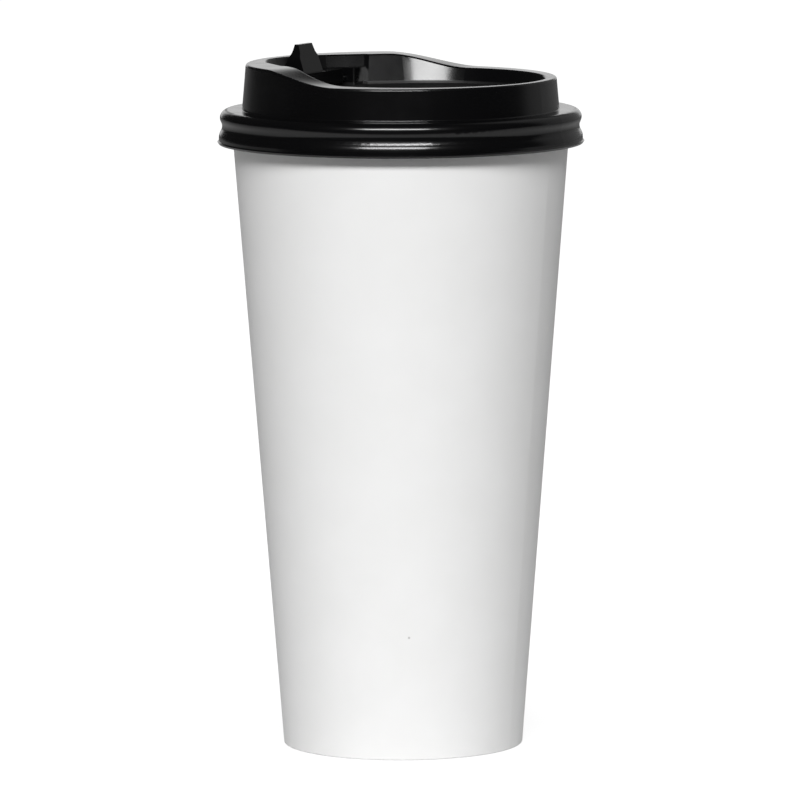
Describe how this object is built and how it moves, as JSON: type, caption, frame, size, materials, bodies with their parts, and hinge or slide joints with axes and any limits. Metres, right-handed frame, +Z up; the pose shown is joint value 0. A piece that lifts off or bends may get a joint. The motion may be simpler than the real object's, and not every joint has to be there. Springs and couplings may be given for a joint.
{
  "type": "paper coffee cup",
  "caption": "Tall tapered paper coffee cup with a rolled rim, and a push-on plastic lid with a sunken deck, raised drinking side and flip stopper.",
  "frame": {"origin": "centre of the cup's foot, on the surface it stands on", "axes": "+Z up along the cup's axis; the drinking side of the lid points along -X"},
  "size_m": [0.093, 0.093, 0.1777],
  "materials": {
    "board": "matt coated white board",
    "lid_plastic": "satin black moulded plastic"
  },
  "bodies": {
    "cup": {"cup_wall": "board", "cup_bottom": "board"},
    "lid": {"lid": "lid_plastic"},
    "stopper": {"stopper": "lid_plastic"}
  },
  "joints": [
    {"name": "lid_lift", "type": "slide", "parent": "cup", "child": "lid", "axis": [0, 0, 1], "range_m": [0, 0.05]},
    {"name": "stopper_flip", "type": "hinge", "parent": "lid", "child": "stopper", "pos_m": [-0.02447, 0, 0.1679], "axis": [0, 1, 0], "range_deg": [0, 90]}
  ]
}
